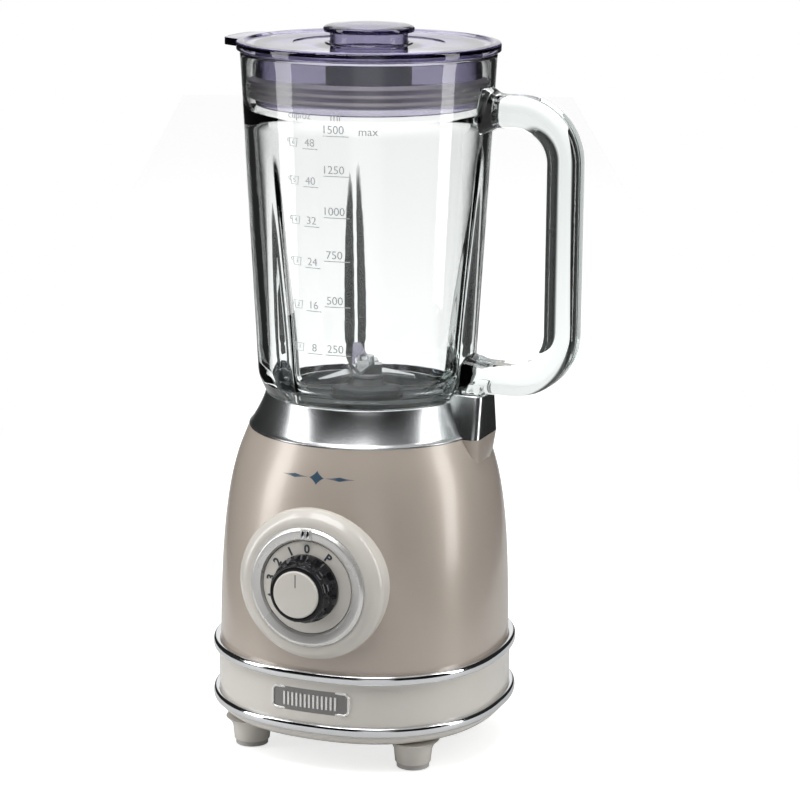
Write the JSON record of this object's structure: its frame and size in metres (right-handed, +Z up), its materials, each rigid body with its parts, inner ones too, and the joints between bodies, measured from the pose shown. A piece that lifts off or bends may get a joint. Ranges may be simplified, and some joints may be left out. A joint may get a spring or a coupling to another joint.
{
  "type": "countertop blender",
  "caption": "Blender with a rounded motor base and front dial, a glass jug with a D handle and blades, and a clear lid with a filler cap.",
  "frame": {"origin": "centre of the whole blender's footprint box, on the table under its feet", "axes": "+Z up, -Y towards the user (the dial faces -Y), +X towards the jug's handle"},
  "size_m": [0.205, 0.1826, 0.4001],
  "materials": {
    "housing_paint": "satin beige metallic paint on a moulded shell",
    "cream_plastic": "glossy cream moulding",
    "chrome_trim": "polished plated trim",
    "badge_metal": "satin silver",
    "foot_rubber": "matt rubber",
    "screw_steel": "zinc plated",
    "dark_plastic": "moulded, dark grey",
    "black_plastic": "glossy black",
    "clear_window": "clear moulding",
    "jug_glass": "thick pressed glass, faint green tint",
    "lid_smoke": "clear smoky violet plastic",
    "seal_silicone": "translucent silicone",
    "blade_steel": "polished stainless steel",
    "holder_plastic": "moulded, grey",
    "lamination_steel": "stacked laminations",
    "copper_wire": "enamelled copper",
    "carbon_block": "pressed carbon",
    "board_laminate": "board laminate with parts",
    "bearing_brass": "sintered bronze",
    "coupling_rubber": "hard rubber"
  },
  "bodies": {
    "base": {"housing_shell": "housing_paint", "base_pan": "cream_plastic", "base_band": "cream_plastic", "trim_ring_lower": "chrome_trim", "trim_ring_upper": "chrome_trim", "foot_pads": "foot_rubber", "base_screws": "screw_steel", "badge_plate": "badge_metal", "cord_gland": "dark_plastic", "collar": "chrome_trim", "jug_seat": "dark_plastic", "seat_pad": "foot_rubber", "safety_switch": "dark_plastic", "dial_bezel": "cream_plastic", "dial_ring": "chrome_trim", "dial_index": "clear_window", "rotary_switch": "dark_plastic", "control_board": "board_laminate", "stator_core": "lamination_steel", "field_coils": "copper_wire", "motor_upper_bracket": "badge_metal", "motor_lower_bracket": "badge_metal", "upper_bearing": "screw_steel", "lower_bearing": "screw_steel", "motor_bolts": "screw_steel", "motor_mounts": "foot_rubber", "mount_screws": "screw_steel", "brush_holders": "bearing_brass", "carbon_brushes": "carbon_block"},
    "rotor": {"motor_shaft": "screw_steel", "rotor_core": "lamination_steel", "rotor_windings": "copper_wire", "commutator": "copper_wire", "cooling_fan": "dark_plastic", "drive_coupling": "coupling_rubber"},
    "interlock": {"interlock_pin": "dark_plastic"},
    "knob": {"dial_skirt": "cream_plastic", "knob_grip": "black_plastic", "knob_cap": "cream_plastic", "selector_shaft": "screw_steel"},
    "jug": {"glass_jug": "jug_glass", "blade_holder": "holder_plastic", "blade_seal": "seal_silicone", "blade_bushes": "bearing_brass"},
    "blades": {"blade_shaft": "blade_steel", "blade_washer": "blade_steel", "blade_lower": "blade_steel", "blade_upper": "blade_steel", "blade_nut": "blade_steel", "driven_coupling": "coupling_rubber"},
    "lid": {"lid": "lid_smoke", "lid_gasket": "seal_silicone"},
    "cap": {"filler_cap": "lid_smoke"}
  },
  "joints": [
    {"name": "motor_spin", "type": "hinge", "parent": "base", "child": "rotor", "pos_m": [-0.01951, 0.00815, 0.127], "axis": [0, 0, 1], "continuous": true},
    {"name": "knob_turn", "type": "hinge", "parent": "base", "child": "knob", "pos_m": [-0.01951, -0.07535, 0.1053], "axis": [0, 1, 0], "range_deg": [-35, 108]},
    {"name": "jug_lift", "type": "slide", "parent": "base", "child": "jug", "axis": [0, 0, 1], "range_m": [0, 0.06]},
    {"name": "pin_slide", "type": "slide", "parent": "base", "child": "interlock", "axis": [0, 0, 1], "range_m": [0, 0.003]},
    {"name": "blade_spin", "type": "hinge", "parent": "jug", "child": "blades", "pos_m": [-0.01951, 0.00815, 0.2063], "axis": [0, 0, 1], "continuous": true},
    {"name": "lid_lift", "type": "slide", "parent": "jug", "child": "lid", "axis": [0, 0, 1], "range_m": [0, 0.05]},
    {"name": "cap_lift", "type": "slide", "parent": "lid", "child": "cap", "axis": [0, 0, 1], "range_m": [0, 0.04]}
  ],
  "couplings": [
    {"joint": "blade_spin", "follows": "motor_spin", "ratio": 1},
    {"joint": "pin_slide", "follows": "jug_lift", "ratio": 0.05}
  ]
}
